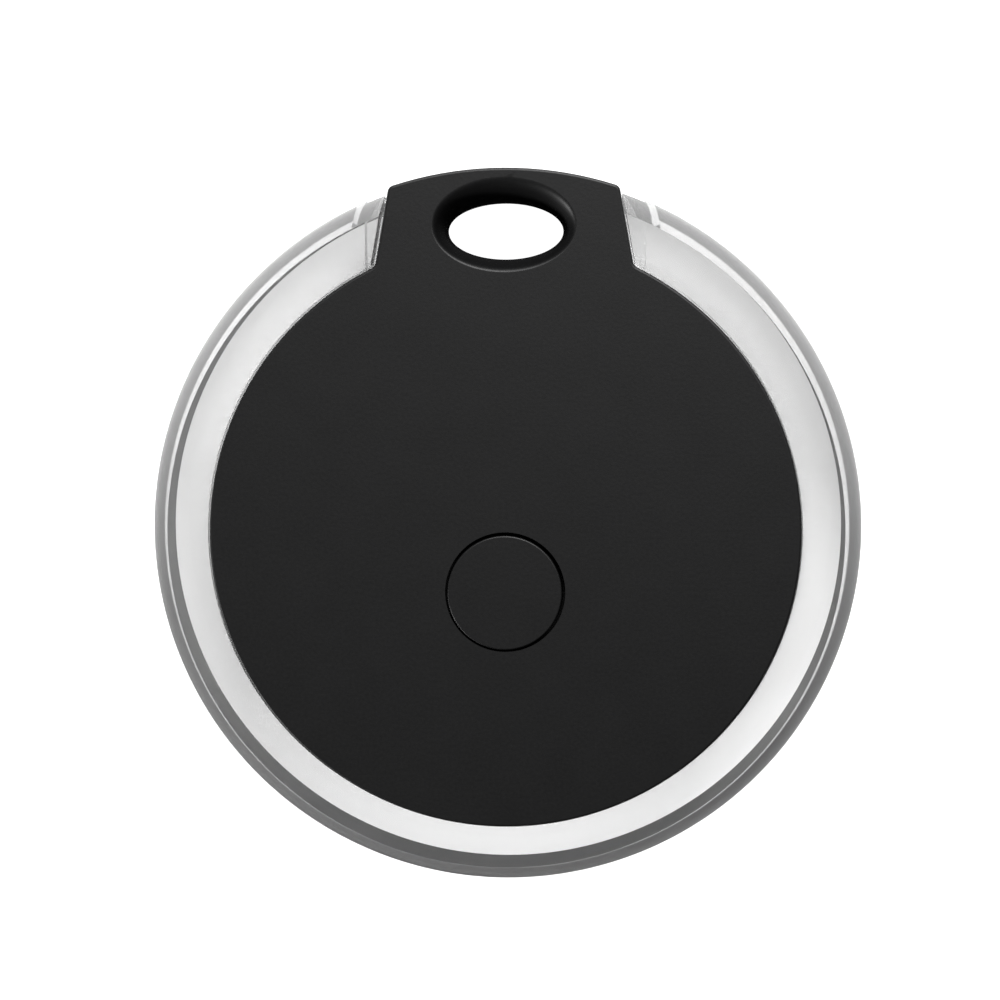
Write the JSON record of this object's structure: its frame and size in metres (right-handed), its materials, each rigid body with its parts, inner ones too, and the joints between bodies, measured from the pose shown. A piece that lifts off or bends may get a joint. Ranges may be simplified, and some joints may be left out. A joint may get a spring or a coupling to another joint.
{
  "type": "bluetooth tracker tag",
  "caption": "Round key-finder tag with a black face, clear light ring, keyring tab, push button and coin-cell door.",
  "frame": {"origin": "middle of the round body, on the surface that the back rests on", "axes": "+Z out of the face, +Y towards the keyring tab, +X to the right seen from the face"},
  "size_m": [0.0384, 0.0385, 0.008],
  "materials": {
    "shell_black": "fine moulded texture, nearly matt",
    "ring_clear": "clear polished light guide",
    "button_black": "fine moulded texture, nearly matt",
    "door_black": "fine moulded texture with fine ground rings",
    "seal_silicone": "soft dark grey silicone",
    "cell_steel": "bright nickel-plated steel",
    "cell_mix": "pressed dark powder",
    "cell_foil": "soft grey metal",
    "cell_plastic": "dark moulded seal",
    "board_green": "green solder mask",
    "contact_spring": "plated spring strip",
    "chip_resin": "dark moulded resin",
    "can_metal": "plain tinned metal",
    "chip_ceramic": "fired ceramic with tinned ends",
    "screw_steel": "zinc-plated steel",
    "light_resin": "clear resin on a white base",
    "switch_plastic": "glass-filled plastic",
    "buzzer_brass": "rolled brass sheet",
    "buzzer_ceramic": "silvered piezo ceramic",
    "foam_tape": "double-sided foam tape"
  },
  "bodies": {
    "root": {"front_shell": "shell_black", "rear_shell": "shell_black", "clear_ring": "ring_clear", "door_seal": "seal_silicone", "cell_can": "cell_steel", "cell_cathode": "cell_mix", "cell_anode": "cell_foil", "cell_gasket": "cell_plastic", "cell_cap": "cell_steel", "circuit_board": "board_green", "negative_contact": "contact_spring", "positive_contact": "contact_spring", "bluetooth_chip": "chip_resin", "crystal": "can_metal", "chip_antenna": "chip_ceramic", "board_screw_1": "screw_steel", "board_screw_2": "screw_steel", "board_screw_3": "screw_steel", "status_light_1": "light_resin", "status_light_2": "light_resin", "status_light_3": "light_resin", "status_light_4": "light_resin", "capacitor_1": "chip_ceramic", "capacitor_2": "chip_ceramic", "capacitor_3": "chip_ceramic", "capacitor_4": "chip_ceramic", "switch_base": "switch_plastic", "switch_cover": "can_metal", "switch_dome": "contact_spring", "buzzer_plate": "buzzer_brass", "buzzer_ceramic": "buzzer_ceramic", "buzzer_tape": "foam_tape", "buzzer_contact_1": "contact_spring", "buzzer_contact_2": "contact_spring"},
    "button": {"button_cap": "button_black"},
    "plunger": {"switch_plunger": "switch_plastic"},
    "door": {"battery_door": "door_black"}
  },
  "joints": [
    {"name": "button_press", "type": "slide", "parent": "root", "child": "button", "axis": [0, 0, -1], "range_m": [0, 0.0002], "stiffness_N_per_m": 6000},
    {"name": "plunger_press", "type": "slide", "parent": "root", "child": "plunger", "axis": [0, 0, -1], "range_m": [0, 0.0002], "deforming": ["switch_dome"]},
    {"name": "door_turn", "type": "hinge", "parent": "root", "child": "door", "pos_m": [0, 0, 0], "axis": [0, 0, -1], "range_deg": [0, 30]}
  ],
  "couplings": [
    {"joint": "plunger_press", "follows": "button_press", "ratio": 1}
  ]
}
